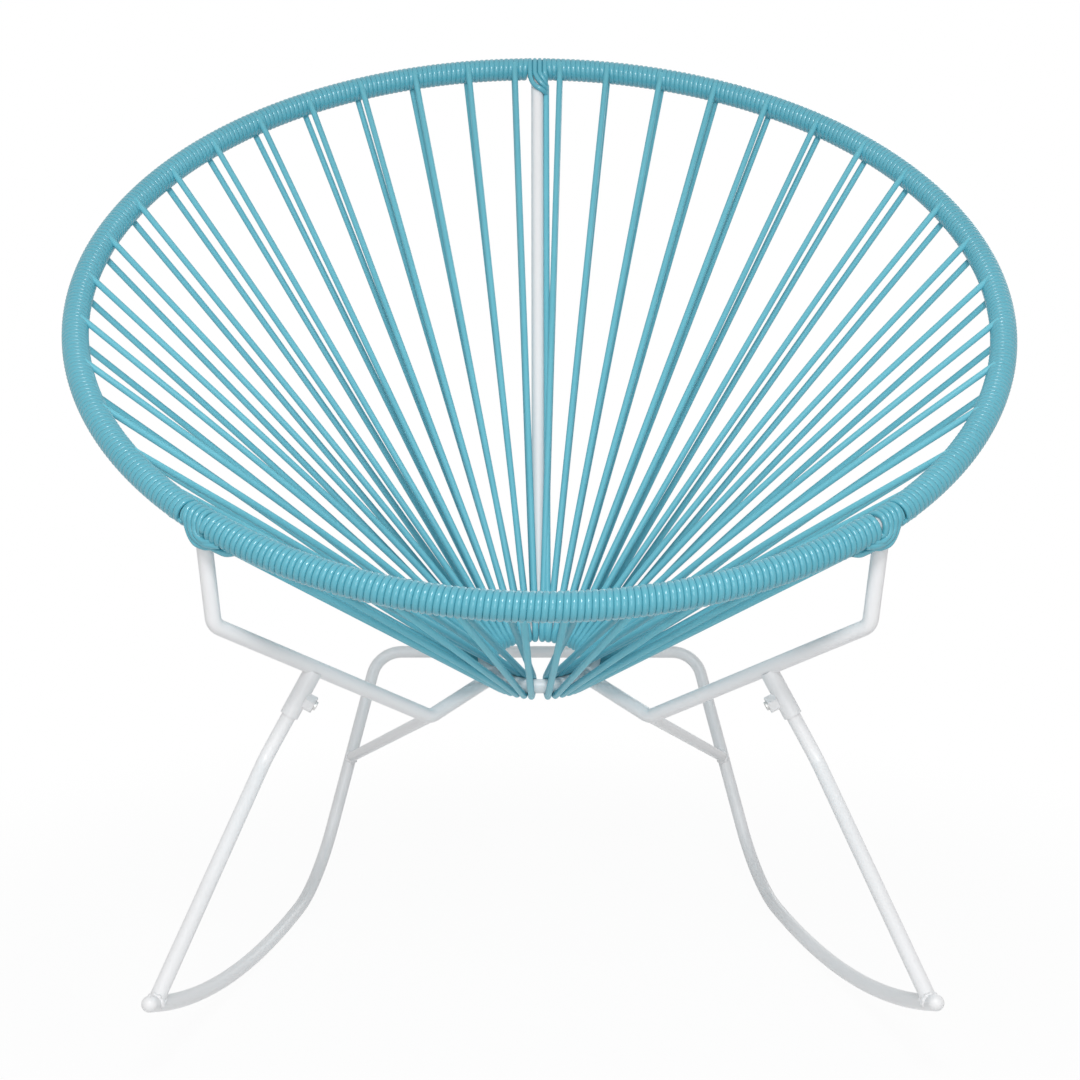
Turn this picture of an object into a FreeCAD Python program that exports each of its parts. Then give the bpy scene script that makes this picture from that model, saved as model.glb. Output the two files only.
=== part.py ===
import FreeCAD, Part
import math
import os

# A rocking lounge chair: a tilted hoop and a small bottom ring strung with taut cord,
# carried by two bent arms, two front legs and two curved rocker rails.
# X points to the right of someone facing the chair, the front is towards -Y, Z is up.
# The floor is at Z = 0 and the chair's box is centred over the origin.

Vec = FreeCAD.Vector
doc = FreeCAD.newDocument("rocking_lounge_chair")
sheet = doc.addObject("Spreadsheet::Sheet", "Sizes")

# Driving dimensions, in millimetres and degrees.
SIZES = (
    # seat
    ("tube_diameter", 12.7),
    ("cord_diameter", 5.0),
    ("cord_sides", 6),
    ("hoop_radius", 405.0),
    ("hoop_tilt", 35.0),
    ("hoop_height", 590.0),
    ("ring_radius", 49.5),
    ("ring_tilt", 21.0),
    ("ring_height", 258.5),
    # arms
    ("arm_hoop_angle", 50.0),
    ("arm_ring_angle", 37.6),
    ("arm_drop", 87.0),
    ("arm_lean_back", 13.5),
    ("arm_lean_in", 3.0),
    ("arm_vee_spread", 95.0),
    ("arm_vee_forward", 87.5),
    ("arm_vee_height", 222.5),
    ("arm_bend_radius", 13.0),
    # leg sockets, with their nuts and set screws
    ("socket_from_bend", 106.5),
    ("socket_diameter", 15.4),
    ("socket_length", 44.0),
    ("nut_from_arm", 27.0),
    ("nut_across_flats", 13.0),
    ("nut_thickness", 6.5),
    ("screw_diameter", 7.6),
    ("screw_proud", 2.0),
    ("screw_key", 4.0),
    ("screw_key_depth", 3.5),
    # front legs
    ("leg_diameter", 12.0),
    ("leg_bend_spread", 225.0),
    ("leg_bend_forward", 181.0),
    ("leg_bend_height", 208.0),
    ("leg_bend_radius", 30.0),
    ("foot_from_tip", 12.0),
    # rocker rails
    ("rail_diameter", 12.0),
    ("rail_spread", 236.5),
    ("rail_forward", 10.0),
    ("rail_toe", 9.5),
    ("rail_lean", 9.0),
    ("runner_radius", 1000.0),
    ("runner_front", 367.0),
    ("runner_rear", 57.0),
    ("rear_bend_radius", 112.0),
    ("rear_leg_lean", 30.0),
    ("crossbar_height", 222.0),
    ("crossbar_bend_radius", 30.0),
    # braces
    ("brace_diameter", 10.0),
    ("brace_height", 124.0),
    # cord work
    ("front_pairs", 12),
    ("front_pair_split", 2.5),
    ("back_pairs", 16),
    ("back_pair_split", 0.5),
    ("back_crowding", 0.08),
    ("rim_gap_at_arm", 4.0),
    ("rim_gap_at_spine", 2.0),
    ("ring_gap_at_arm", 11.2),
    ("ring_gap_at_spine", 4.1),
    ("wrap_gap_at_arm", 12.0),
    ("wrap_gap_at_spine", 7.0),
    ("winding_turns", 13),
    ("winding_step_gap", 0.6),
    # clearances
    ("wrap_clearance", 0.2),
    ("cord_clearance", 0.4),
    ("seat_clearance", 0.3),
    ("socket_clearance", 0.2),
    ("screw_clearance", 0.1),
)
for row, (alias, value) in enumerate(SIZES, start=1):
    sheet.set(f"A{row}", alias.replace("_", " "))
    sheet.set(f"B{row}", str(value))
    sheet.setAlias(f"B{row}", alias)
doc.recompute()

SIDES = (("left", -1), ("right", 1))
SPINE_ANGLE = 90.0
FRONT_ANGLE = -90.0
COPE_SHARE = 0.45
VOLUME_TOLERANCE = 0.01
nodes = {}


def size(alias):
    return float(sheet.get(alias))


def count(alias):
    return int(round(size(alias)))


def sin(angle):
    return math.sin(math.radians(angle))


def cos(angle):
    return math.cos(math.radians(angle))


def unit(vector):
    return Vec(vector).normalize()


tube_radius = size("tube_diameter") / 2
cord_radius = size("cord_diameter") / 2
rail_radius = size("rail_diameter") / 2
winding_radius = tube_radius + size("wrap_clearance") + cord_radius
wrap_radius = winding_radius + cord_radius


# Rocker rails: a leaning plane holds the runner, the rear bend and the rear leg.

def runner_place(along):
    """A point of the runner in its plane, by arc length from where it meets the floor."""
    turn = along / size("runner_radius")
    rise = size("runner_radius") * (1 - math.cos(turn))
    return size("runner_radius") * math.sin(turn), rise


def rail_point(sign, along, rise):
    """A point of the rail's leaning plane, before the chair is centred."""
    toe, lean = size("rail_toe"), size("rail_lean")
    back = Vec(-sign * sin(toe), cos(toe), 0)
    up = Vec(-sign * sin(lean) * cos(toe), -sin(lean) * sin(toe), cos(lean))
    floor_point = Vec(sign * size("rail_spread"), -size("rail_forward"), rail_radius)
    return floor_point + back * along + up * rise


# The chair's box runs from the runner tips to the back of the hoop, and is centred on Y = 0.
front_reach = rail_point(1, *runner_place(-size("runner_front"))).y - rail_radius
back_reach = size("hoop_radius") * cos(size("hoop_tilt")) + wrap_radius
centring = Vec(0, -(front_reach + back_reach) / 2, 0)


class Loop:
    """A tilted circle over the chair's middle: the seat hoop or the bottom ring."""

    def __init__(self, name):
        self.radius = size(name + "_radius")
        self.tilt = size(name + "_tilt")
        self.centre = Vec(0, 0, size(name + "_height")) + centring
        self.axis = Vec(0, -sin(self.tilt), cos(self.tilt))

    def outward(self, angle):
        return Vec(cos(angle), sin(angle) * cos(self.tilt), sin(angle) * sin(self.tilt))

    def tangent(self, angle):
        return Vec(-sin(angle), cos(angle) * cos(self.tilt), cos(angle) * sin(self.tilt))

    def point(self, angle):
        return self.centre + self.outward(angle) * self.radius

    def placement(self, start=0.0):
        tilted = FreeCAD.Rotation(Vec(1, 0, 0), self.tilt)
        return FreeCAD.Placement(self.centre, tilted * FreeCAD.Rotation(Vec(0, 0, 1), start))


hoop = Loop("hoop")
ring = Loop("ring")


# Building blocks.

def add(kind, name, placement=None, **bindings):
    """A document object whose properties follow expressions on the sheet."""
    thing = doc.addObject(kind, name)
    for prop, expression in bindings.items():
        thing.setExpression(prop, expression)
    if placement is not None:
        thing.Placement = placement
    return thing


def along(start, direction):
    """A placement at start whose own Z axis points along the direction."""
    return FreeCAD.Placement(start, FreeCAD.Rotation(Vec(0, 0, 1), direction))


def cut(name, base, *tools):
    """The base with each tool taken out in turn."""
    for step, tool in enumerate(tools):
        result = doc.addObject("Part::Cut", f"{name}_cut_{step}")
        result.Base = base
        result.Tool = tool
        base = result
    return base


def rod(name, edges, diameter):
    """A round bar of the named diameter swept along lines and tangent arcs."""
    path = doc.addObject("Part::Feature", name + "_path")
    path.Shape = Part.Wire(edges)
    first = edges[0]
    section = add("Part::Circle", name + "_section",
                  along(first.valueAt(first.FirstParameter), first.tangentAt(first.FirstParameter)),
                  Radius=f"Sizes.{diameter} / 2")
    sweep = doc.addObject("Part::Sweep", name + "_bar")
    sweep.Sections = [section]
    sweep.Spine = (path, [f"Edge{number}" for number in range(1, len(edges) + 1)])
    sweep.Solid = True
    return sweep


def straight_rod(name, start, end, diameter):
    bar = add("Part::Cylinder", name + "_bar", along(start, end - start), Radius=f"Sizes.{diameter} / 2")
    bar.Height = (end - start).Length
    return bar


def keep(name, thing):
    """Names a finished piece of the chair."""
    thing.Label = name
    nodes[name] = thing


def line(start, end):
    return Part.LineSegment(start, end).toShape()


def arc(start, middle, end):
    return Part.Arc(start, middle, end).toShape()


def tangent_arc(start, corner, end):
    """The arc from start to end whose two tangents meet at the corner, equally far from both."""
    reach = (corner - start).Length
    inward = (start + end) * 0.5 - corner
    half_chord = (end - start).Length / 2
    radius = reach * half_chord / inward.Length
    crown = math.hypot(radius, reach) - radius
    return arc(start, corner + unit(inward) * crown, end)


def bent_path(points, radius):
    """Straight runs through the points, with an arc of the radius at each bend."""
    edges = []
    start = points[0]
    for before, corner, after in zip(points, points[1:], points[2:]):
        incoming, outgoing = unit(corner - before), unit(after - corner)
        reach = radius * math.tan(incoming.getAngle(outgoing) / 2)
        bend_start = corner - incoming * reach
        bend_end = corner + outgoing * reach
        edges += [line(start, bend_start), tangent_arc(bend_start, corner, bend_end)]
        start = bend_end
    edges.append(line(start, points[-1]))
    return edges


def biarc(start, start_way, end, end_way):
    """Two arcs that leave start and reach end along the given unit directions."""
    span = end - start
    ways = start_way + end_way
    spread = 2 * (1 - start_way.dot(end_way))
    lead = span.dot(ways)
    reach = (-lead + math.sqrt(lead * lead + spread * span.dot(span))) / spread
    first_corner = start + start_way * reach
    last_corner = end - end_way * reach
    meeting = (first_corner + last_corner) * 0.5
    return [tangent_arc(start, first_corner, meeting), tangent_arc(meeting, last_corner, end)]


def cord(edges):
    """One unbroken length of cord along the edges, with flat sides inside its round outline."""
    first = edges[0]
    start = first.valueAt(first.FirstParameter)
    facing = FreeCAD.Rotation(Vec(0, 0, 1), first.tangentAt(first.FirstParameter))
    sides = count("cord_sides")
    side_turn = 360 / sides
    corners = [start + facing.multVec(Vec(cos(side_turn * corner), sin(side_turn * corner), 0)) * cord_radius
               for corner in range(sides + 1)]
    tube = Part.Wire(edges).makePipeShell([Part.makePolygon(corners)], True, False)
    section_area = sides / 2 * cord_radius ** 2 * sin(side_turn)
    expected = section_area * sum(edge.Length for edge in edges)
    if abs(tube.Volume / expected - 1) > VOLUME_TOLERANCE:
        raise RuntimeError("a cord's volume doesn't match its section and length")
    return tube


# Steel tubes of the seat: hoop, bottom ring and spine.

seat_hoop = add("Part::Torus", "seat_hoop", hoop.placement(),
                Radius1="Sizes.hoop_radius", Radius2="Sizes.tube_diameter / 2")
keep("seat_hoop", seat_hoop)

bottom_ring = add("Part::Torus", "bottom_ring", ring.placement(),
                  Radius1="Sizes.ring_radius", Radius2="Sizes.tube_diameter / 2")
keep("bottom_ring", bottom_ring)


def weld_end(centre, towards, radius):
    """Where a coped tube starts, part of the way out of the tube it is welded to."""
    return centre + unit(towards - centre) * radius * COPE_SHARE


spine_top = hoop.point(SPINE_ANGLE)
spine_foot = ring.point(SPINE_ANGLE)
spine = straight_rod("spine_tube", weld_end(spine_top, spine_foot, tube_radius),
                     weld_end(spine_foot, spine_top, tube_radius), "tube_diameter")
keep("spine_tube", cut("spine_tube", spine, seat_hoop, bottom_ring))


# Rails, arms, sockets, legs and braces, one of each per side.

def rail_path(sign):
    """The runner, its rear bend, the rear leg and half of the crossbar, and the leg's line."""
    def place(point):
        return rail_point(sign, *point) + centring

    rear_turn = math.degrees(size("runner_rear") / size("runner_radius"))
    leg_turn = 90 - size("rear_leg_lean")
    bend = size("rear_bend_radius")
    bend_start = runner_place(size("runner_rear"))
    centre = (bend_start[0] - bend * sin(rear_turn), bend_start[1] + bend * cos(rear_turn))
    middle_turn = (rear_turn + leg_turn) / 2
    bend_middle = (centre[0] + bend * sin(middle_turn), centre[1] - bend * cos(middle_turn))
    bend_end = (centre[0] + bend * sin(leg_turn), centre[1] - bend * cos(leg_turn))
    corner_rise = (size("crossbar_height") - rail_radius) / cos(size("rail_lean"))
    corner_along = bend_end[0] + (corner_rise - bend_end[1]) / math.tan(math.radians(leg_turn))
    leg_foot, corner = place(bend_end), place((corner_along, corner_rise))
    runner_middle = (size("runner_rear") - size("runner_front")) / 2
    edges = [arc(place(runner_place(-size("runner_front"))), place(runner_place(runner_middle)),
                 place(bend_start)),
             arc(place(bend_start), place(bend_middle), leg_foot)]
    edges += bent_path([leg_foot, corner, Vec(0, corner.y, corner.z)], size("crossbar_bend_radius"))
    return edges, leg_foot, corner


def build_side(side, sign):
    # rocker rail with its domed end cap
    edges, leg_foot, corner = rail_path(sign)
    rail = rod(side + "_rocker_rail", edges, "rail_diameter")
    keep(side + "_rocker_rail", rail)
    runner = edges[0]
    tip = runner.valueAt(runner.FirstParameter)
    cap = add("Part::Sphere", side + "_runner_cap",
              along(tip, runner.tangentAt(runner.FirstParameter) * -1), Radius="Sizes.rail_diameter / 2")
    cap.Angle1 = 0
    keep(side + "_runner_cap", cap)

    # arm, from the hoop's underside down and in to the bottom ring
    arm_top = hoop.point(FRONT_ANGLE + sign * (90 - size("arm_hoop_angle")))
    arm_foot = ring.point(FRONT_ANGLE + sign * (90 - size("arm_ring_angle")))
    lean_in, lean_back = size("arm_lean_in"), size("arm_lean_back")
    drop = Vec(-sign * math.tan(math.radians(lean_in)), sin(lean_back), -cos(lean_back))
    elbow = arm_top + drop * size("arm_drop")
    vee = Vec(sign * size("arm_vee_spread"), -size("arm_vee_forward"), size("arm_vee_height")) + centring
    arm_points = [weld_end(arm_top, elbow, tube_radius), elbow, vee, weld_end(arm_foot, vee, tube_radius)]
    arm_bar = rod(side + "_arm", bent_path(arm_points, size("arm_bend_radius")), "tube_diameter")
    arm = cut(side + "_arm", arm_bar, seat_hoop, bottom_ring)
    keep(side + "_arm", arm)

    # socket welded under the arm, open at its lower end for the leg
    seat = elbow + unit(vee - elbow) * size("socket_from_bend")
    leg_bend = Vec(sign * size("leg_bend_spread"), -size("leg_bend_forward"), size("leg_bend_height"))
    leg_bend += centring
    down = unit(leg_bend - seat)
    socket_radius = size("socket_diameter") / 2
    lip = seat + down * size("socket_length")
    sleeve = straight_rod(side + "_leg_socket", weld_end(seat, lip, tube_radius), lip, "socket_diameter")
    bore = add("Part::Cylinder", side + "_socket_bore", along(seat, down),
               Radius="Sizes.leg_diameter / 2 + Sizes.socket_clearance",
               Height="Sizes.socket_length + Sizes.tube_diameter")
    inward = Vec(-sign, 0, 0)
    inward = unit(inward - down * inward.dot(down))
    screw_line = seat + down * size("nut_from_arm")
    screw_hole = add("Part::Cylinder", side + "_screw_hole", along(screw_line, inward),
                     Radius="Sizes.screw_diameter / 2 + Sizes.screw_clearance",
                     Height="Sizes.socket_diameter / 2 + 2 * Sizes.nut_thickness")
    keep(side + "_leg_socket", cut(side + "_leg_socket", sleeve, arm, bore, screw_hole))

    # nut welded to the socket's inner side, and the set screw that holds the leg
    nut_back = screw_line + inward * size("leg_diameter") * 0.5
    nut = add("Part::Prism", side + "_nut_blank", along(nut_back, inward),
              Circumradius="Sizes.nut_across_flats / sqrt(3)",
              Height="(Sizes.socket_diameter - Sizes.leg_diameter) / 2 + Sizes.nut_thickness")
    saddle = add("Part::Cylinder", side + "_nut_saddle", along(seat, down),
                 Radius="Sizes.socket_diameter / 2", Height="2 * Sizes.nut_from_arm")
    keep(side + "_socket_nut", cut(side + "_socket_nut", nut, saddle, screw_hole))
    screw_start = screw_line + inward * (size("leg_diameter") / 2 + size("screw_clearance"))
    screw = add("Part::Cylinder", side + "_screw_blank", along(screw_start, inward),
                Radius="Sizes.screw_diameter / 2",
                Height="(Sizes.socket_diameter - Sizes.leg_diameter) / 2 - Sizes.screw_clearance"
                       " + Sizes.nut_thickness + Sizes.screw_proud")
    screw_face = screw_line + inward * (socket_radius + size("nut_thickness") + size("screw_proud"))
    key = add("Part::Prism", side + "_screw_key", along(screw_face, inward * -1),
              Circumradius="Sizes.screw_key / sqrt(3)", Height="Sizes.screw_key_depth")
    keep(side + "_set_screw", cut(side + "_set_screw", screw, key))

    # front leg, from inside the socket through one bend to the runner's tip
    foot_along = size("foot_from_tip") - size("runner_front")
    foot = rail_point(sign, *runner_place(foot_along)) + centring
    leg_top = seat + down * (tube_radius + size("seat_clearance"))
    leg_bar = rod(side + "_front_leg", bent_path([leg_top, leg_bend, weld_end(foot, leg_bend, rail_radius)],
                                                 size("leg_bend_radius")), "leg_diameter")
    keep(side + "_front_leg", cut(side + "_front_leg", leg_bar, arm, rail))

    # brace from the rear leg up to the arm's lower bend
    share = (size("brace_height") - leg_foot.z) / (corner.z - leg_foot.z)
    joint = leg_foot + (corner - leg_foot) * share
    brace = straight_rod(side + "_brace", weld_end(joint, vee, rail_radius),
                         weld_end(vee, joint, tube_radius), "brace_diameter")
    keep(side + "_brace", cut(side + "_brace", brace, rail, arm))


for side_name, side_sign in SIDES:
    build_side(side_name, side_sign)


# Cord wound round the hoop: a sleeve between the welds, with open turns at the front middle.

arm_angle = 90 - size("arm_hoop_angle")
arm_gap = math.degrees(size("wrap_gap_at_arm") / size("hoop_radius"))
spine_gap = math.degrees(size("wrap_gap_at_spine") / size("hoop_radius"))
winding_step = size("cord_diameter") + size("winding_step_gap")
winding_half_width = (size("winding_turns") / 2 + 0.25) * winding_step
turns_gap = math.degrees((winding_half_width + size("cord_diameter")) / size("hoop_radius"))


def build_wrap(name, first, last):
    """A sleeve of wound cord round the hoop, from one angle to the other."""
    outside = add("Part::Torus", name + "_outside", hoop.placement(first),
                  Radius1="Sizes.hoop_radius",
                  Radius2="Sizes.tube_diameter / 2 + Sizes.wrap_clearance + Sizes.cord_diameter")
    inside = add("Part::Torus", name + "_inside", hoop.placement(first),
                 Radius1="Sizes.hoop_radius",
                 Radius2="Sizes.tube_diameter / 2 + Sizes.wrap_clearance")
    outside.Angle3 = last - first
    inside.Angle3 = last - first
    keep(name, cut(name, outside, inside))


build_wrap("rim_wrap_right", FRONT_ANGLE + arm_angle + arm_gap, SPINE_ANGLE - spine_gap)
build_wrap("rim_wrap_left", SPINE_ANGLE + spine_gap, FRONT_ANGLE + 360 - arm_angle - arm_gap)
build_wrap("rim_wrap_front_right", FRONT_ANGLE + turns_gap, FRONT_ANGLE + arm_angle - arm_gap)
build_wrap("rim_wrap_front_left", FRONT_ANGLE - arm_angle + arm_gap, FRONT_ANGLE - turns_gap)


def winding_place(turn):
    """A point of the open turns and the cord's direction there, by turn angle in degrees."""
    angle = FRONT_ANGLE + math.degrees(winding_step * (turn - middle_turn) / 360 / hoop.radius)
    out = hoop.outward(angle)
    point = hoop.point(angle) + (out * cos(turn) + hoop.axis * sin(turn)) * winding_radius
    advance = winding_step / (2 * math.pi) * (1 + winding_radius * cos(turn) / hoop.radius)
    way = hoop.tangent(angle) * advance + (hoop.axis * cos(turn) - out * sin(turn)) * winding_radius
    return point, unit(way)


# The first turn comes up from under the rim and the last one leaves over it, towards the ring.
strand_way = unit(ring.point(FRONT_ANGLE) - hoop.point(FRONT_ANGLE))
leave_turn = math.degrees(math.atan2(-strand_way.dot(hoop.outward(FRONT_ANGLE)), strand_way.dot(hoop.axis)))
first_turn = leave_turn - 180
last_turn = leave_turn + 360 * count("winding_turns")
middle_turn = (first_turn + last_turn) / 2
quarter_turns = 2 + 4 * count("winding_turns")
stations = [winding_place(first_turn + 90 * quarter) for quarter in range(quarter_turns + 1)]
winding_edges = [line(stations[0][0] - stations[0][1] * size("cord_diameter"), stations[0][0])]
for (start, start_way), (end, end_way) in zip(stations, stations[1:]):
    winding_edges += biarc(start, start_way, end, end_way)
winding_edges.append(line(stations[-1][0], stations[-1][0] + stations[-1][1] * size("cord_diameter")))
winding = doc.addObject("Part::Feature", "rim_winding_front")
winding.Shape = cord(winding_edges)
keep("rim_winding_front", winding)

samples = [edge.valueAt(edge.FirstParameter + (edge.LastParameter - edge.FirstParameter) * share)
           for edge in winding_edges for share in (0, 0.25, 0.5, 0.75)]
samples_per_turn = 32
least = min((samples[late] - samples[early]).Length
            for early in range(len(samples))
            for late in range(early + samples_per_turn // 2, min(early + 2 * samples_per_turn, len(samples))))
print("least gap between turns of the winding: %.2f mm" % (least - size("cord_diameter")))


# Strands: each cord runs from over the rim to the ring, turns round it and goes back under the rim.

def strand_end(angle, ring_angle, over):
    """A strand's straight run: its ends at the ring and at the rim, over or under the tubes."""
    way = unit(hoop.point(angle) - ring.point(ring_angle))
    rise = 1 if over else -1
    ring_side = unit(way.cross(ring.tangent(ring_angle))) * rise
    rim_side = unit(way.cross(hoop.tangent(angle))) * rise
    at_ring = ring.point(ring_angle) + ring_side * turn_radius
    at_rim = hoop.point(angle) + rim_side * winding_radius
    run = unit(at_rim - at_ring)
    inner_edge = winding_radius - cord_radius
    stand_off = math.sqrt((wrap_radius + size("seat_clearance")) ** 2 - inner_edge ** 2)
    slant = abs(run.dot(hoop.tangent(angle)))
    slant_width = cord_radius * slant / 2
    return at_ring, at_rim - run * (stand_off + slant_width) / math.sqrt(1 - slant * slant)


def strand(over_angle, under_angle, ring_angle):
    """One cord, over the rim at one angle and back under it at the other."""
    ring_over, rim_over = strand_end(over_angle, ring_angle, True)
    ring_under, rim_under = strand_end(under_angle, ring_angle, False)
    inside = unit(ring_over + ring_under - rim_over - rim_under)
    tangent = ring.tangent(ring_angle)
    inside = unit(inside - tangent * inside.dot(tangent))
    turn_point = ring.point(ring_angle) + inside * turn_radius
    turn_way = unit(ring_under - ring_over)
    turn_way = unit(turn_way - inside * turn_way.dot(inside))
    edges = [line(rim_over, ring_over)]
    edges += biarc(ring_over, unit(ring_over - rim_over), turn_point, turn_way)
    edges += biarc(turn_point, turn_way, ring_under, unit(rim_under - ring_under))
    edges.append(line(ring_under, rim_under))
    return cord(edges)


turn_radius = tube_radius + size("cord_clearance") + cord_radius


def back_strands(sign):
    """The cords from the spine round to one arm, the closest together beside the spine."""
    pairs = count("back_pairs")
    crowding = size("back_crowding")
    half_split = size("back_pair_split") / 2
    rim_start, ring_start = size("rim_gap_at_spine"), size("ring_gap_at_spine")
    rim_span = SPINE_ANGLE - FRONT_ANGLE - arm_angle - size("rim_gap_at_arm") - rim_start
    ring_span = 90 + size("arm_ring_angle") - size("ring_gap_at_arm") - ring_start
    cords = []
    for number in range(pairs):
        share = number / (pairs - 1)
        rim_turn = rim_start + rim_span * share * (1 - crowding + crowding * share)
        cords.append(strand(SPINE_ANGLE - sign * (rim_turn - half_split),
                            SPINE_ANGLE - sign * (rim_turn + half_split),
                            SPINE_ANGLE - sign * (ring_start + ring_span * share)))
    return cords


def front_strands(sign):
    """The cords from one arm to the front middle."""
    pairs = count("front_pairs") // 2
    half_split = size("front_pair_split") / 2
    ring_span = 90 - size("arm_ring_angle") - size("ring_gap_at_arm")
    cords = []
    for number in range(pairs):
        rim_turn = arm_angle * (1 - (number + 0.5) / pairs)
        cords.append(strand(FRONT_ANGLE + sign * (rim_turn + half_split),
                            FRONT_ANGLE + sign * (rim_turn - half_split),
                            FRONT_ANGLE + sign * ring_span * (1 - number / (pairs - 0.5))))
    return cords


def keep_strands(name, cords):
    group = doc.addObject("Part::Feature", name)
    group.Shape = Part.makeCompound(cords)
    keep(name, group)


BACK_GROUPS = ("top", "middle", "low")
for side_name, side_sign in SIDES:
    back = back_strands(side_sign)
    share = math.ceil(len(back) / len(BACK_GROUPS))
    for number, group_name in enumerate(BACK_GROUPS):
        keep_strands(f"strands_{side_name}_{group_name}", back[number * share:(number + 1) * share])
    keep_strands(f"strands_{side_name}_front", front_strands(side_sign))


# Every piece is checked before any is written.

doc.recompute()
for thing in doc.Objects:
    if "Invalid" in thing.State or "Error" in thing.State:
        raise RuntimeError(f"{thing.Label} failed to build: {thing.State}")
for name, thing in nodes.items():
    if thing.Shape.isNull() or not thing.Shape.isValid() or not thing.Shape.Solids:
        raise RuntimeError(f"{name} has no valid solid")

os.makedirs("parts", exist_ok=True)
for name, thing in nodes.items():
    thing.Shape.exportStep(f"parts/{name}.step")
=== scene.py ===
import bpy
import math
from mathutils import Matrix, Vector
from mathutils.geometry import interpolate_bezier


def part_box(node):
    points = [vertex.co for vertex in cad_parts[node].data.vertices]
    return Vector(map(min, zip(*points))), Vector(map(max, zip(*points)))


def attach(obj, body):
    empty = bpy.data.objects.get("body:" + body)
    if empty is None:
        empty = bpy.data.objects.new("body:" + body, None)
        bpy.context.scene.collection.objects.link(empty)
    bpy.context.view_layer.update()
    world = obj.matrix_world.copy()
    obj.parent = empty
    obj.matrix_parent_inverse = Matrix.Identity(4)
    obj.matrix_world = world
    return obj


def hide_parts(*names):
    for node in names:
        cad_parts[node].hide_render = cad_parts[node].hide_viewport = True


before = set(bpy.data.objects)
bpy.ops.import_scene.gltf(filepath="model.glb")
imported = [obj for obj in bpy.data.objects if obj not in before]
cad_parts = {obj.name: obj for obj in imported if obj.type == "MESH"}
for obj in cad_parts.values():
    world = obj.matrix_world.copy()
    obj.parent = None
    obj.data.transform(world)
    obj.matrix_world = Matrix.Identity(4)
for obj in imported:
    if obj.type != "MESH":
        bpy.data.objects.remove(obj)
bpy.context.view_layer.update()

# Sizes of the chair, in metres and degrees.
TUBE_RADIUS = 0.00635
ROD_RADIUS = 0.006
CORD_RADIUS = 0.0025
WRAP_CLEARANCE = 0.0002
RING_CLEARANCE = 0.0004
HOOP_RADIUS = 0.405
HOOP_TILT = 35.0
RING_RADIUS = 0.0495
RING_TILT = 21.0
SPINE_ANGLE = 90.0
FRONT_ANGLE = -90.0
ARM_ANGLE = 40.0
ARM_RING_ANGLE = 52.4
ARM_LEAN_BACK = 13.5
ARM_LEAN_IN = 3.0
FRONT_PAIRS = 6
FRONT_PAIR_SPLIT = 2.5
FRONT_RING_NEAR = 7.5
FRONT_RING_FAR = 43.0
FRONT_RING_CROWDING = 1.15
FRONT_SLANT = 8.0
BACK_PAIRS = 16
PAIR_SPLIT_GROWTH = 2.0
BACK_CROWDING = 0.08
RIM_GAP_AT_ARM = 4.0
RIM_GAP_AT_SPINE = 2.0
FIRST_SPREAD = 1.4
FIRST_SPREAD_FADE = 0.5
RING_GAP_AT_ARM = 11.2
RING_GAP_AT_SPINE = 4.1
RING_SLANT = 16.0
# For each side: how far its pairs part on the rim, and how many pairs its slant takes to grow.
LACING = {"left": (0.45, 2.5), "right": (0.05, 5.0)}
STRAND_RADIUS = 0.0030
HOOK_CORD_RADIUS = 0.00265
TURN_STEP = 0.00512
WINDING_RADIUS = TUBE_RADIUS + WRAP_CLEARANCE + CORD_RADIUS
RING_TURN_RADIUS = TUBE_RADIUS + RING_CLEARANCE + CORD_RADIUS

SIDES = (("left", -1), ("right", 1))
ARC_STEP_DEGREES = 12
CORD_BEVEL_STEPS = 4
# How far the ripple on a weld bead goes on from point to point, in radians.
RIPPLE_STEP = 1.9


def sin(angle):
    return math.sin(math.radians(angle))


def cos(angle):
    return math.cos(math.radians(angle))


class Loop:
    """A tilted circle over the chair's middle: the seat hoop or the bottom ring."""

    def __init__(self, node, radius, tilt):
        lowest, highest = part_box(node)
        self.centre = (lowest + highest) / 2
        self.radius = radius
        self.tilt = tilt
        self.axis = Vector((0, -sin(tilt), cos(tilt)))

    def outward(self, angle):
        return Vector((cos(angle), sin(angle) * cos(self.tilt), sin(angle) * sin(self.tilt)))

    def tangent(self, angle):
        return Vector((-sin(angle), cos(angle) * cos(self.tilt), cos(angle) * sin(self.tilt)))

    def point(self, angle):
        return self.centre + self.outward(angle) * self.radius


hoop = Loop("seat_hoop", HOOP_RADIUS, HOOP_TILT)
ring = Loop("bottom_ring", RING_RADIUS, RING_TILT)


# Materials.

def socket_group(name, inputs, outputs):
    """An empty shader node group with its named sockets, and its two end nodes."""
    group = bpy.data.node_groups.new(name, "ShaderNodeTree")
    for label, kind, value in inputs:
        socket = group.interface.new_socket(label, in_out="INPUT", socket_type=kind)
        socket.default_value = value
    for label, kind in outputs:
        group.interface.new_socket(label, in_out="OUTPUT", socket_type=kind)
    return group, group.nodes.new("NodeGroupInput"), group.nodes.new("NodeGroupOutput")


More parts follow.
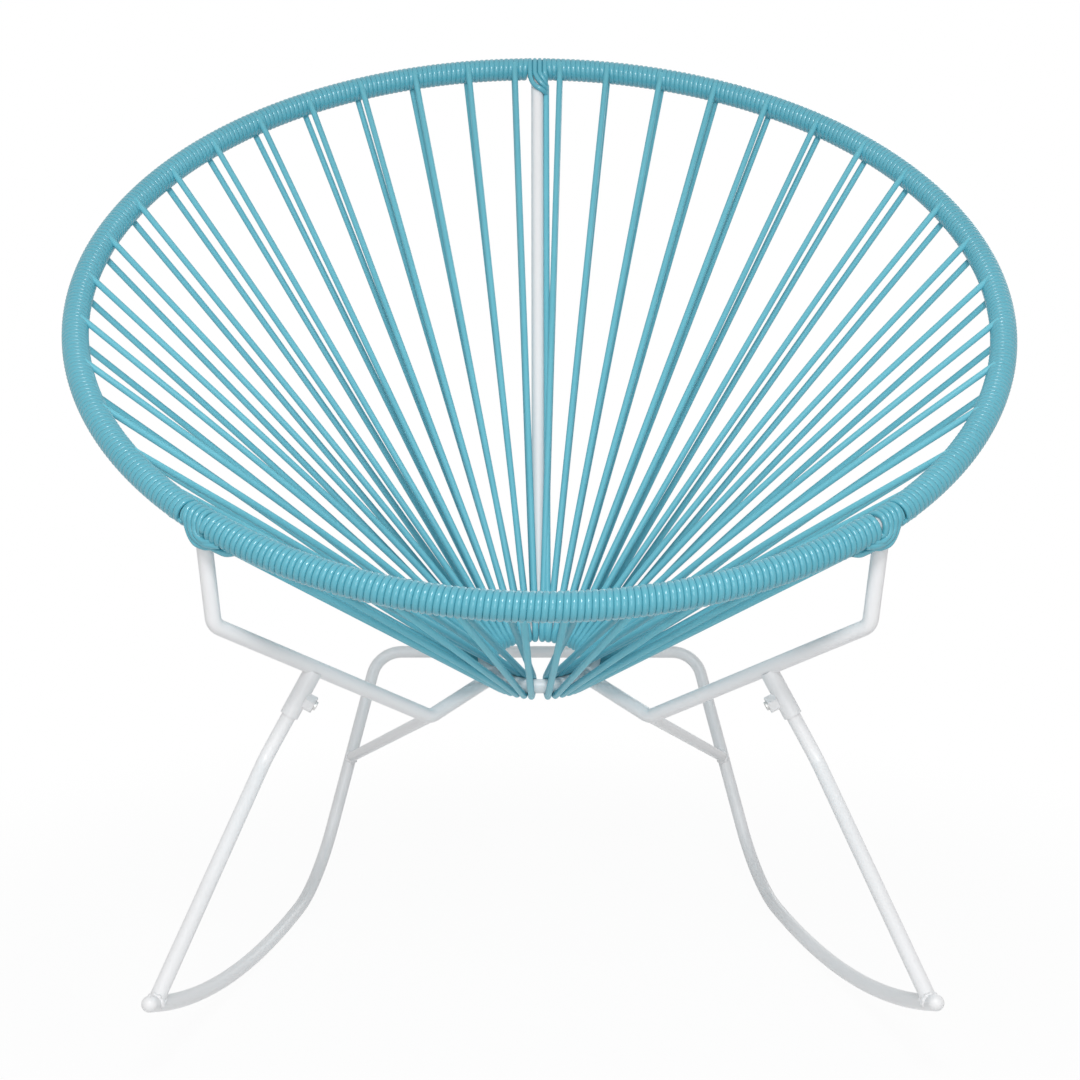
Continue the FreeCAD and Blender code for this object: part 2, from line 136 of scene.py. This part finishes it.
def build_mottle():
    """Slow drift between two colours, with a fine uneven surface for bump."""
    group, given, result = socket_group(
        "mottle",
        (("Scale", "NodeSocketFloat", 20.0), ("Fine Scale", "NodeSocketFloat", 400.0),
         ("Colour A", "NodeSocketColor", (1, 1, 1, 1)), ("Colour B", "NodeSocketColor", (1, 1, 1, 1)),
         ("Rough A", "NodeSocketFloat", 0.3), ("Rough B", "NodeSocketFloat", 0.4)),
        (("Colour", "NodeSocketColor"), ("Roughness", "NodeSocketFloat"), ("Height", "NodeSocketFloat")))
    links = group.links
    place = group.nodes.new("ShaderNodeTexCoord")
    slow = group.nodes.new("ShaderNodeTexNoise")
    slow.inputs["Detail"].default_value = 3.0
    fine = group.nodes.new("ShaderNodeTexNoise")
    fine.inputs["Detail"].default_value = 2.0
    links.new(place.outputs["Object"], slow.inputs["Vector"])
    links.new(place.outputs["Object"], fine.inputs["Vector"])
    links.new(given.outputs["Scale"], slow.inputs["Scale"])
    links.new(given.outputs["Fine Scale"], fine.inputs["Scale"])
    ramp = group.nodes.new("ShaderNodeMapRange")
    ramp.inputs["From Min"].default_value = 0.35
    ramp.inputs["From Max"].default_value = 0.65
    links.new(slow.outputs["Fac"], ramp.inputs["Value"])
    colours = group.nodes.new("ShaderNodeMix")
    colours.data_type = "RGBA"
    links.new(ramp.outputs["Result"], colours.inputs["Factor"])
    links.new(given.outputs["Colour A"], colours.inputs["A"])
    links.new(given.outputs["Colour B"], colours.inputs["B"])
    links.new(colours.outputs["Result"], result.inputs["Colour"])
    gloss = group.nodes.new("ShaderNodeMix")
    links.new(fine.outputs["Fac"], gloss.inputs["Factor"])
    links.new(given.outputs["Rough A"], gloss.inputs["A"])
    links.new(given.outputs["Rough B"], gloss.inputs["B"])
    links.new(gloss.outputs["Result"], result.inputs["Roughness"])
    links.new(fine.outputs["Fac"], result.inputs["Height"])
    return group


MOTTLE = build_mottle()


def mottled_finish(name, colours, rough, scales, bump=None, **surface):
    """A finish whose colour and gloss drift a little over the piece; bump is strength and distance."""
    material = bpy.data.materials.new(name)
    material.use_nodes = True
    nodes, links = material.node_tree.nodes, material.node_tree.links
    shader = nodes["Principled BSDF"]
    for label, value in surface.items():
        shader.inputs[label.replace("_", " ")].default_value = value
    mottle = nodes.new("ShaderNodeGroup")
    mottle.node_tree = MOTTLE
    mottle.inputs["Scale"].default_value = scales[0]
    mottle.inputs["Fine Scale"].default_value = scales[1]
    mottle.inputs["Colour A"].default_value = (*colours[0], 1)
    mottle.inputs["Colour B"].default_value = (*colours[1], 1)
    mottle.inputs["Rough A"].default_value = rough[0]
    mottle.inputs["Rough B"].default_value = rough[1]
    links.new(mottle.outputs["Colour"], shader.inputs["Base Color"])
    links.new(mottle.outputs["Roughness"], shader.inputs["Roughness"])
    if bump:
        relief = nodes.new("ShaderNodeBump")
        relief.inputs["Strength"].default_value = bump[0]
        relief.inputs["Distance"].default_value = bump[1]
        links.new(mottle.outputs["Height"], relief.inputs["Height"])
        links.new(relief.outputs["Normal"], shader.inputs["Normal"])
    return material


CORD_COLOURS = ((0.096, 0.406, 0.508), (0.106, 0.427, 0.532))
# The strands are the same vinyl cord as the winding, so their colours here are painted lighter to offset
# the shade deep in the seat's cone.
STRAND_COLOURS_PAINTED_LIGHTER = ((0.155, 0.515, 0.625), (0.167, 0.540, 0.651))
WHITE_COLOURS = ((0.830, 0.830, 0.840), (0.855, 0.855, 0.865))
ZINC_COLOURS = ((0.66, 0.66, 0.65), (0.74, 0.74, 0.73))
CORD_SCALES = (14.0, 900.0)
cord_vinyl = mottled_finish("cord_vinyl", CORD_COLOURS, (0.20, 0.22), CORD_SCALES, Specular_IOR_Level=0.64)
# The strands' finish: the same cord, rougher and less glossy, with a colour painted lighter against the
# shade in the cone.
cord_strands_painted_lighter = mottled_finish("cord_strands_painted_lighter", STRAND_COLOURS_PAINTED_LIGHTER, (0.38, 0.42), CORD_SCALES, Specular_IOR_Level=0.25)
white_paint = mottled_finish("white_paint", WHITE_COLOURS, (0.30, 0.40), (9.0, 650.0), (0.02, 0.0002),
                             Specular_IOR_Level=0.45)
zinc_steel = mottled_finish("zinc_steel", ZINC_COLOURS, (0.36, 0.48), (60.0, 900.0), (0.05, 0.0002),
                            Metallic=0.7)


# Cord pieces.

def settle(piece, material, slot, *replaced):
    """Gives a finished piece its material and its place in the frame."""
    piece.data.materials.clear()
    piece.data.materials.append(material)
    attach(piece, "root")
    if replaced:
        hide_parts(*replaced)


def picked(name, data):
    """A new object in the scene, the only one selected."""
    piece = bpy.data.objects.new(name, data)
    bpy.context.scene.collection.objects.link(piece)
    bpy.ops.object.select_all(action="DESELECT")
    bpy.context.view_layer.objects.active = piece
    piece.select_set(True)
    return piece


def tube_piece(name, runs, radius, bevel_steps=CORD_BEVEL_STEPS, closed=False, ripple=0.0):
    """One mesh of round tubes, each along the points of one run."""
    curve = bpy.data.curves.new(name, "CURVE")
    curve.dimensions = "3D"
    curve.bevel_depth = radius
    curve.bevel_resolution = bevel_steps
    curve.use_fill_caps = True
    for run in runs:
        spline = curve.splines.new("POLY")
        spline.points.add(len(run) - 1)
        spline.use_cyclic_u = closed
        for number, place in enumerate(run):
            spline.points[number].co = (*place, 1)
            spline.points[number].radius = 1 + ripple * math.sin(number * RIPPLE_STEP)
    piece = picked(name, curve)
    bpy.ops.object.convert(target="MESH")
    bpy.ops.object.shade_smooth()
    piece.select_set(False)
    return piece


def mirrored(runs, sign):
    """The same runs on one side of the chair."""
    return [[Vector((sign * point.x, point.y, point.z)) for point in run] for run in runs]


# Cord wound round the hoop.

TURN_POINTS = 20
ARCH_RADIUS_BACK = 0.0042
ARCH_RADIUS_FRONT = 0.0032
ARCH_POINTS = 7
ARCH_FOOT = 0.0015
# A hair over half, so that neighbouring turns meet.
SECTION_HALF_SHARE = 0.503
ARM_LEAN_SLOPE = math.tan(math.radians(ARM_LEAN_IN))
ARM_DROP_WAY = Vector((-ARM_LEAN_SLOPE, sin(ARM_LEAN_BACK), -cos(ARM_LEAN_BACK))).normalized()
SPINE_WAY = (ring.point(SPINE_ANGLE) - hoop.point(SPINE_ANGLE)).normalized()


def cord_section(arch, swell):
    """Points of the arched section of a cord pressed between its neighbours, across and along."""
    half = TURN_STEP * SECTION_HALF_SHARE
    lean = math.asin(half / arch)
    points = [(-ARCH_FOOT, half)]
    for number in range(ARCH_POINTS):
        turn = lean * (1 - 2 * number / (ARCH_POINTS - 1))
        fall = arch * (1 - math.cos(turn))
        points.append((CORD_RADIUS + swell - fall, arch * math.sin(turn)))
    points.append((-ARCH_FOOT, -half))
    return points


def wound_band(name, first, last, sign, arch, swell):
    """The cord's turns between two joints; a mesh, because a curve's section would roll on a helix."""
    length = math.radians(abs(last - first)) * HOOP_RADIUS
    turns = round(length / TURN_STEP)
    steps = turns * TURN_POINTS
    section = cord_section(arch, swell)
    corners = len(section)
    places = []
    faces = []
    for step in range(steps + 1):
        around = 360 * step / TURN_POINTS
        angle = first + (last - first) * step / steps
        outward, tangent, centre = hoop.outward(angle), hoop.tangent(angle), hoop.point(angle)
        rise = outward * cos(around) + hoop.axis * sin(around)
        for across, along in section:
            place = centre + rise * (WINDING_RADIUS + across) + tangent * along
            places.append((sign * place.x, place.y, place.z))
    for step in range(steps):
        for corner in range(corners):
            near = step * corners + corner
            side = step * corners + (corner + 1) % corners
            faces.append((near, side, side + corners, near + corners))
    faces.append(tuple(range(corners)))
    faces.append(tuple(range(steps * corners, (steps + 1) * corners)))
    mesh = bpy.data.meshes.new(name)
    mesh.from_pydata(places, [], faces)
    piece = picked(name, mesh)
    bpy.ops.object.mode_set(mode="EDIT")
    bpy.ops.mesh.select_all(action="SELECT")
    bpy.ops.mesh.normals_make_consistent(inside=False)
    bpy.ops.object.mode_set(mode="OBJECT")
    bpy.ops.object.shade_smooth()
    piece.select_set(False)
    return piece


def hoop_turn(distance):
    """The angle that a distance along the hoop takes."""
    return math.degrees(distance / HOOP_RADIUS)


arm_hoop_angle = FRONT_ANGLE + ARM_ANGLE
JOINT_HALF = 0.01074
ARM_CRACK = 0.0024
FRONT_SWELL = 0.0004
for side, sign in SIDES:
    piece = wound_band(f"wound_rim_{side}", SPINE_ANGLE - hoop_turn(JOINT_HALF),
                       arm_hoop_angle + hoop_turn(JOINT_HALF + ARM_CRACK), sign, ARCH_RADIUS_BACK, 0.0)
    settle(piece, cord_vinyl, "cord", f"rim_wrap_{side}")
front_piece = wound_band("wound_rim_front", -180 - arm_hoop_angle + hoop_turn(JOINT_HALF),
                         arm_hoop_angle - hoop_turn(JOINT_HALF), 1, ARCH_RADIUS_FRONT, FRONT_SWELL)
settle(front_piece, cord_vinyl, "cord", "rim_wrap_front_left", "rim_wrap_front_right", "rim_winding_front")


# Turns that come down over the tops of the spine and the arms, and hook round their sides.

HOOK_TURNS = 4
HOOK_RADIUS = WINDING_RADIUS
HOOK_LEAD = 0.0105
HOOK_HIDE = 0.006
HOOK_BEHIND = 110
HOOK_END = 150
HOOK_STEPS = 24
HOOK_FALL = 35.0


def facing(down, across):
    """The way out to the front, square to a tube's own way and to the way across it."""
    front = down.cross(across).normalized()
    return front if front.y < 0 else -front


def over_hoop(top, across, down, start):
    """Points of a turn from behind the hoop, over it and down its front."""
    front = facing(down, across)
    points = []
    for turn in range(-HOOK_BEHIND, 90, ARC_STEP_DEGREES):
        points.append(top + across * start + (front * sin(turn) - down * cos(turn)) * HOOK_RADIUS)
    return points


def hook_turn(top, across, down, number, curl):
    """One turn over the hoop that comes down in front of a tube and round its side."""
    front = facing(down, across)
    start = (number - (HOOK_TURNS - 1) / 2) * TURN_STEP
    points = over_hoop(top, across, down, start)
    points.append(top + across * start + front * HOOK_RADIUS)
    first_turn = math.degrees(math.asin(start / HOOK_RADIUS))
    for step in range(HOOK_STEPS + 1):
        turn = first_turn + (HOOK_END - first_turn) * step / HOOK_STEPS
        drop = HOOK_LEAD + curl * (1 - math.exp((first_turn - turn) / HOOK_FALL))
        lifted = math.exp((HOOK_LEAD - drop) / HOOK_HIDE)
        height = cos(turn) * (1 - lifted) + lifted
        points.append(top + (across * sin(turn) + front * height) * HOOK_RADIUS + down * drop)
    return points


SMOOTH_STEPS = 7


def smooth_run(places):
    """A smooth line through places, each handle a sixth of the step between the places beside it."""
    points = []
    for number in range(len(places) - 1):
        start, end = places[number], places[number + 1]
        before = places[max(number - 1, 0)]
        after = places[min(number + 2, len(places) - 1)]
        points += interpolate_bezier(start, start + (end - before) / 6, end - (after - start) / 6, end,
                                     SMOOTH_STEPS)[:-1]
    return points + [places[-1]]


# Places of each turn over an arm, in millimetres: along the rim, down the arm, out to the front.
ARM_HOOKS = (
    ((-7.7, 0, 9.0), (-7.0, 7.0, 8.4), (-4.2, 12.0, 8.8), (1.5, 15.0, 9.4), (8.0, 15.6, 7.4),
     (14.0, 14.0, 5.4), (22.0, 13.2, 5.0), (30.0, 12.0, 4.6), (37.0, 8.6, 3.2)),
    ((-2.6, 0, 9.0), (-1.6, 6.0, 9.6), (2.5, 10.4, 9.8), (8.0, 12.0, 8.8), (14.0, 10.6, 9.0),
     (20.0, 9.0, 8.0), (26.0, 7.0, 6.2)),
    ((2.6, 0, 9.0), (3.4, 5.0, 9.9), (6.5, 8.2, 9.6), (11.0, 9.0, 9.0), (16.0, 7.4, 8.0), (21.0, 5.6, 6.0)),
    ((7.7, 0, 9.0), (7.9, 4.5, 8.6), (8.8, 8.0, 6.2), (10.5, 9.5, 2.5), (12.5, 9.0, -1.5)))
SPINE_CURL = 0.0212
SPINE_CURL_STEP = 0.0047
SUNK_TURN = 0.0014
spine_hooks = []
arm_hooks = []
arm_across = -hoop.tangent(arm_hoop_angle)
arm_front = facing(ARM_DROP_WAY, arm_across)
arm_top = hoop.point(arm_hoop_angle)
for number in range(HOOK_TURNS):
    spine_hooks.append(hook_turn(hoop.point(SPINE_ANGLE), Vector((1, 0, 0)), SPINE_WAY, number,
                                 SPINE_CURL - SPINE_CURL_STEP * number))
    places = []
    for along, down, out in ARM_HOOKS[number]:
        shift = arm_across * along + ARM_DROP_WAY * down + arm_front * out
        places.append(arm_top + shift / 1000)
    start = ARM_HOOKS[number][0][0] / 1000
    arm_hooks.append(over_hoop(arm_top, arm_across, ARM_DROP_WAY, start) + smooth_run(places))
sunk_angle = arm_hoop_angle + hoop_turn(JOINT_HALF + ARM_CRACK / 2)
sunk_turn = []
for turn in range(0, 361, ARC_STEP_DEGREES):
    rise = hoop.outward(sunk_angle) * cos(turn) + hoop.axis * sin(turn)
    sunk_turn.append(hoop.point(sunk_angle) + rise * (WINDING_RADIUS - SUNK_TURN))
arm_hooks.append(sunk_turn)


# Strands from the rim to the ring and back.

SLANT_EASE = 0.5
RIM_WRAP_DEGREES = 36
RIM_SINK = 0.0036


def slant(way, tangent):
    """How far a way runs along the tube, for each step that it takes across it."""
    lengthwise = way.dot(tangent)
    return lengthwise / math.sqrt(1 - lengthwise * lengthwise)


def eased(turn):
    """A turn in radians that grows ever more slowly."""
    return SLANT_EASE * (1 - math.exp(-turn / SLANT_EASE))


def rim_wrap(angle, way, rise):
    """Points of a strand going on round the rim's winding, then sinking into it."""
    tangent = hoop.tangent(angle)
    up = way.cross(tangent).normalized() * rise
    ahead = (way - tangent * way.dot(tangent)).normalized()
    points = []
    for degrees in range(0, RIM_WRAP_DEGREES + 1, ARC_STEP_DEGREES):
        radius = WINDING_RADIUS - RIM_SINK * sin(90 * degrees / RIM_WRAP_DEGREES)
        along = radius * slant(way, tangent) * eased(math.radians(degrees))
        place = hoop.point(angle) + tangent * along
        points.append(place + (up * cos(degrees) + ahead * sin(degrees)) * radius)
    return points


def around_ring(angle, way):
    """The side of the ring's section that a way points to, from the outside over the top."""
    return math.degrees(math.atan2(way.dot(ring.axis), way.dot(ring.outward(angle)))) % 360


def ring_turn(over_angle, under_angle, over_way, under_way):
    """Points of a strand going round the ring, from its upper run to its lower one."""
    over_tangent, under_tangent = ring.tangent(over_angle), ring.tangent(under_angle)
    first = around_ring(over_angle, over_way.cross(over_tangent))
    last = around_ring(under_angle, under_tangent.cross(under_way))
    whole = math.radians(last - first)
    steps = round((last - first) / ARC_STEP_DEGREES)
    points = []
    for step in range(steps + 1):
        share = step / steps
        angle = over_angle + (under_angle - over_angle) * share
        around = first + (last - first) * share
        along = -slant(over_way, over_tangent) * eased(whole * share)
        along -= slant(under_way, under_tangent) * eased(whole * (1 - share))
        across = ring.outward(angle) * cos(around) + ring.axis * sin(around)
        points.append(ring.point(angle) + (across + ring.tangent(angle) * along) * RING_TURN_RADIUS)
    return points


def strand_points(over_angle, under_angle, ring_over, ring_under):
    """One cord: over the rim, down to the ring, round it, and back under the rim."""
    over_way = (hoop.point(over_angle) - ring.point(ring_over)).normalized()
    under_way = (hoop.point(under_angle) - ring.point(ring_under)).normalized()
    points = rim_wrap(over_angle, over_way, 1)[::-1]
    points += ring_turn(ring_over, ring_under, over_way, under_way)
    points += rim_wrap(under_angle, under_way, -1)
    return points


back_rim_span = SPINE_ANGLE - FRONT_ANGLE - ARM_ANGLE - RIM_GAP_AT_ARM - RIM_GAP_AT_SPINE
back_ring_span = SPINE_ANGLE - FRONT_ANGLE - ARM_RING_ANGLE - RING_GAP_AT_ARM - RING_GAP_AT_SPINE


def back_strand(number, most_split, slant_growth):
    """One pair of the back, counted from the spine."""
    share = number / (BACK_PAIRS - 1)
    rim_angle = SPINE_ANGLE - RIM_GAP_AT_SPINE
    rim_angle -= back_rim_span * share * (1 - BACK_CROWDING + BACK_CROWDING * share)
    rim_angle -= FIRST_SPREAD * math.exp(-number / FIRST_SPREAD_FADE)
    ring_angle = SPINE_ANGLE - RING_GAP_AT_SPINE - back_ring_span * share
    ring_slant = RING_SLANT * (1 - math.exp(-number / slant_growth))
    split = most_split * (1 - math.exp(-number / PAIR_SPLIT_GROWTH))
    return strand_points(rim_angle + split / 2, rim_angle - split / 2,
                         ring_angle - ring_slant / 2, ring_angle + ring_slant / 2)


def front_strand(number):
    """One pair of the front, counted from the arm."""
    rim_angle = FRONT_ANGLE + ARM_ANGLE * (1 - (number + 0.5) / FRONT_PAIRS)
    share = number / (FRONT_PAIRS - 1)
    ring_angle = FRONT_ANGLE + FRONT_RING_FAR
    ring_angle -= (FRONT_RING_FAR - FRONT_RING_NEAR) * share ** FRONT_RING_CROWDING
    ring_slant = FRONT_SLANT * (1 - share)
    return strand_points(rim_angle + FRONT_PAIR_SPLIT / 2, rim_angle - FRONT_PAIR_SPLIT / 2,
                         ring_angle + ring_slant / 2, ring_angle - ring_slant / 2)


BACK_GROUPS = ("top", "middle", "low")
for side, sign in SIDES:
    strand_runs = {group: [] for group in BACK_GROUPS}
    for number in range(BACK_PAIRS):
        group = BACK_GROUPS[number // math.ceil(BACK_PAIRS / len(BACK_GROUPS))]
        strand_runs[group].append(back_strand(number, *LACING[side]))
    strand_runs["front"] = [front_strand(number) for number in range(FRONT_PAIRS)]
    for group, runs in strand_runs.items():
        piece = tube_piece(f"cords_{side}_{group}", mirrored(runs, sign), STRAND_RADIUS)
        settle(piece, cord_strands_painted_lighter, "cord", f"strands_{side}_{group}")


# The short cord beside the spine, and the turns over the tops of the spine and the arms.

BESIDE_SPINE = 0.0094
BESIDE_DROP = (0.020, 0.031)
BESIDE_RING_ANGLE = 80.0
beside_top = hoop.point(SPINE_ANGLE) + Vector((BESIDE_SPINE, 0, 0))
beside_spine = [beside_top + SPINE_WAY * drop for drop in BESIDE_DROP]
beside_way = (beside_spine[-1] - ring.point(BESIDE_RING_ANGLE)).normalized()
beside_spine += ring_turn(BESIDE_RING_ANGLE, BESIDE_RING_ANGLE, beside_way, beside_way)
settle(tube_piece("cord_beside_spine", [beside_spine], STRAND_RADIUS), cord_strands_painted_lighter, "cord")
settle(tube_piece("wound_spine_top", spine_hooks, HOOK_CORD_RADIUS), cord_vinyl, "cord")
for side, sign in SIDES:
    piece = tube_piece(f"wound_arm_top_{side}", mirrored(arm_hooks, sign), HOOK_CORD_RADIUS)
    settle(piece, cord_vinyl, "cord")


# Weld beads where the rods and tubes of the base meet.

RUNNER_RADIUS = 1.0
RAIL_START = Vector((0.2365, -0.010, ROD_RADIUS))
RAIL_TOE = 9.5
RAIL_LEAN = 9.0
FOOT_ALONG = -0.355
FOOT_STEP = 0.01
RUNNER_REAR = 0.057
REAR_BEND = 0.112
REAR_LEG_TURN = 60.0
BRACE_HEIGHT = 0.124
BRACE_RADIUS = 0.005
ARM_VEE = Vector((0.095, -0.0875, 0.2225))
LEG_BEND = Vector((0.225, -0.181, 0.208))
BEAD_POINTS = 36
BEAD_RADIUS = 0.0018
BEAD_BEVEL_STEPS = 3
BEAD_RIPPLE = 0.28
centring = Vector((0, hoop.centre.y, 0))


def rail_point(along, rise):
    """A point of the right rail's own leaning plane."""
    back = Vector((-sin(RAIL_TOE), cos(RAIL_TOE), 0))
    up = Vector((-sin(RAIL_LEAN) * cos(RAIL_TOE), -sin(RAIL_LEAN) * sin(RAIL_TOE), cos(RAIL_LEAN)))
    return RAIL_START + back * along + up * rise + centring


def runner_point(along):
    """A point of the runner's arc, by its length from where it meets the floor."""
    turn = along / RUNNER_RADIUS
    return rail_point(RUNNER_RADIUS * math.sin(turn), RUNNER_RADIUS * (1 - math.cos(turn)))


def bead_run(centre, main_way, main_radius, branch_way, branch_radius):
    """The closed line where a branch rod comes out of a main rod."""
    main, branch = main_way.normalized(), branch_way.normalized()
    lean = main.dot(branch)
    off = (branch - main * lean).normalized()
    steep = branch.dot(off)
    side = main.cross(off)
    points = []
    for number in range(BEAD_POINTS):
        turn = 360 * number / BEAD_POINTS
        inner = max(0.0, main_radius ** 2 - (branch_radius * sin(turn)) ** 2)
        height = (math.sqrt(inner) + branch_radius * cos(turn) * lean) / steep
        ring_place = (main * steep - off * lean) * cos(turn) + side * sin(turn)
        points.append(centre + branch * height + ring_place * branch_radius)
    return points


foot = runner_point(FOOT_ALONG)
arm_vee = ARM_VEE + centring
leg_bend = LEG_BEND + centring
rear_turn = math.degrees(RUNNER_REAR / RUNNER_RADIUS)
bend_along = RUNNER_RADIUS * sin(rear_turn) - REAR_BEND * sin(rear_turn) + REAR_BEND * sin(REAR_LEG_TURN)
bend_rise = RUNNER_RADIUS * (1 - cos(rear_turn)) + REAR_BEND * (cos(rear_turn) - cos(REAR_LEG_TURN))
rear_foot = rail_point(bend_along, bend_rise)
rear_way = rail_point(bend_along + cos(REAR_LEG_TURN), bend_rise + sin(REAR_LEG_TURN)) - rear_foot
brace_joint = rear_foot + rear_way * ((BRACE_HEIGHT - rear_foot.z) / rear_way.z)
foot_way = runner_point(FOOT_ALONG + FOOT_STEP) - runner_point(FOOT_ALONG - FOOT_STEP)
beads = [bead_run(foot, foot_way, ROD_RADIUS, leg_bend - foot, ROD_RADIUS),
         bead_run(brace_joint, rear_way, ROD_RADIUS, arm_vee - brace_joint, BRACE_RADIUS)]
for side, sign in SIDES:
    piece = tube_piece(f"weld_beads_{side}", mirrored(beads, sign), BEAD_RADIUS, BEAD_BEVEL_STEPS, True,
                       BEAD_RIPPLE)
    settle(piece, white_paint, "white_paint")


# Steel pieces of the frame keep their solids and get their finish.

for name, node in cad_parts.items():
    if name.startswith(("rim_", "strands_")):
        continue
    node.data.materials.clear()
    node.data.materials.append(zinc_steel if name.endswith("set_screw") else white_paint)


# Floor, light and camera.

FLOOR_WIDTH = 60.0
FLOOR_GREY = 0.80
FLOOR_ROUGHNESS = 0.9
SHADOW_REACH = (0.35, 0.9)
SHADOW_GLOW = 0.95
FILL_LEVEL = 0.45
# Each lamp's name, place, the point that it lights, its width and its power.
LAMPS = (("front_lamp", (0.0, -1.35, 1.45), (0, 0, 0.40), 0.42, 12.5),
         ("low_fill", (0.0, -3.0, 0.60), (0, 0, 0.35), 1.6, 19.0),
         ("back_lamp", (1.6, 3.6, 1.8), (0, 0, 0.45), 1.6, 14.0))


def seen_plainly(nodes, links):
    """1 on rays that see the background itself: from the camera, off gloss or through glass."""
    path = nodes.new("ShaderNodeLightPath")
    sight = path.outputs["Is Camera Ray"]
    for label in ("Is Glossy Ray", "Is Transmission Ray"):
        either = nodes.new("ShaderNodeMath")
        either.operation = "MAXIMUM"
        links.new(sight, either.inputs[0])
        links.new(path.outputs[label], either.inputs[1])
        sight = either.outputs["Value"]
    return sight


def build_floor():
    """A wide pale floor that reads as white and keeps a soft shadow."""
    bpy.ops.mesh.primitive_plane_add(size=FLOOR_WIDTH)
    floor = bpy.context.object
    floor.name = "floor"
    material = bpy.data.materials.new("floor_white")
    material.use_nodes = True
    nodes, links = material.node_tree.nodes, material.node_tree.links
    matt = nodes["Principled BSDF"]
    matt.inputs["Base Color"].default_value = (FLOOR_GREY, FLOOR_GREY, FLOOR_GREY, 1)
    matt.inputs["Roughness"].default_value = FLOOR_ROUGHNESS
    glow = nodes.new("ShaderNodeEmission")
    place = nodes.new("ShaderNodeTexCoord")
    reach = nodes.new("ShaderNodeVectorMath")
    reach.operation = "LENGTH"
    fade = nodes.new("ShaderNodeMapRange")
    fade.interpolation_type = "SMOOTHSTEP"
    fade.inputs["From Min"].default_value = SHADOW_REACH[0]
    fade.inputs["From Max"].default_value = SHADOW_REACH[1]
    fade.inputs["To Min"].default_value = SHADOW_GLOW
    fade.inputs["To Max"].default_value = 1.0
    share = nodes.new("ShaderNodeMath")
    share.operation = "MULTIPLY"
    blend = nodes.new("ShaderNodeMixShader")
    links.new(place.outputs["Object"], reach.inputs[0])
    links.new(reach.outputs["Value"], fade.inputs["Value"])
    links.new(fade.outputs["Result"], share.inputs[1])
    links.new(seen_plainly(nodes, links), share.inputs[0])
    links.new(share.outputs["Value"], blend.inputs["Fac"])
    links.new(matt.outputs["BSDF"], blend.inputs[1])
    links.new(glow.outputs["Emission"], blend.inputs[2])
    links.new(blend.outputs["Shader"], nodes["Material Output"].inputs["Surface"])
    floor.data.materials.append(material)


def build_world():
    """White to the camera, and a soft even light on the chair."""
    world = bpy.data.worlds.new("studio")
    bpy.context.scene.world = world
    world.use_nodes = True
    nodes, links = world.node_tree.nodes, world.node_tree.links
    back = nodes["Background"]
    back.inputs["Color"].default_value = (1, 1, 1, 1)
    level = nodes.new("ShaderNodeMapRange")
    level.inputs["To Min"].default_value = FILL_LEVEL
    level.inputs["To Max"].default_value = 1.0
    links.new(seen_plainly(nodes, links), level.inputs["Value"])
    links.new(level.outputs["Result"], back.inputs["Strength"])


def build_lamp(name, place, target, size, power):
    """A square lamp turned to its target."""
    data = bpy.data.lights.new(name, "AREA")
    data.size = size
    data.energy = power
    lamp = bpy.data.objects.new(name, data)
    lamp.location = place
    lamp.rotation_euler = (Vector(target) - Vector(place)).to_track_quat("-Z", "Y").to_euler()
    bpy.context.scene.collection.objects.link(lamp)


PHOTO_WIDTH = 1080
FOCAL_PIXELS = 1853.9
CAMERA_PLACE = (-0.0180, -1.6458, 0.5709)
CAMERA_YAW = 0.638
CAMERA_PITCH = 7.05
CAMERA_ROLL = 0.148
SENSOR_WIDTH = 36.0


def build_camera():
    """The photograph's viewpoint, as measured on the hoop's outline."""
    data = bpy.data.cameras.new("camera")
    data.sensor_width = SENSOR_WIDTH
    data.lens = SENSOR_WIDTH * FOCAL_PIXELS / PHOTO_WIDTH
    camera = bpy.data.objects.new("camera", data)
    camera.location = CAMERA_PLACE
    turn = Matrix.Rotation(math.radians(-CAMERA_YAW), 3, "Z")
    tip = Matrix.Rotation(math.radians(90 - CAMERA_PITCH), 3, "X")
    roll = Matrix.Rotation(math.radians(CAMERA_ROLL), 3, "Z")
    camera.rotation_euler = (turn @ tip @ roll).to_euler()
    bpy.context.scene.collection.objects.link(camera)
    bpy.context.scene.camera = camera


build_floor()
build_world()
for lamp in LAMPS:
    build_lamp(*lamp)
build_camera()
bpy.context.scene.view_settings.view_transform = "Standard"
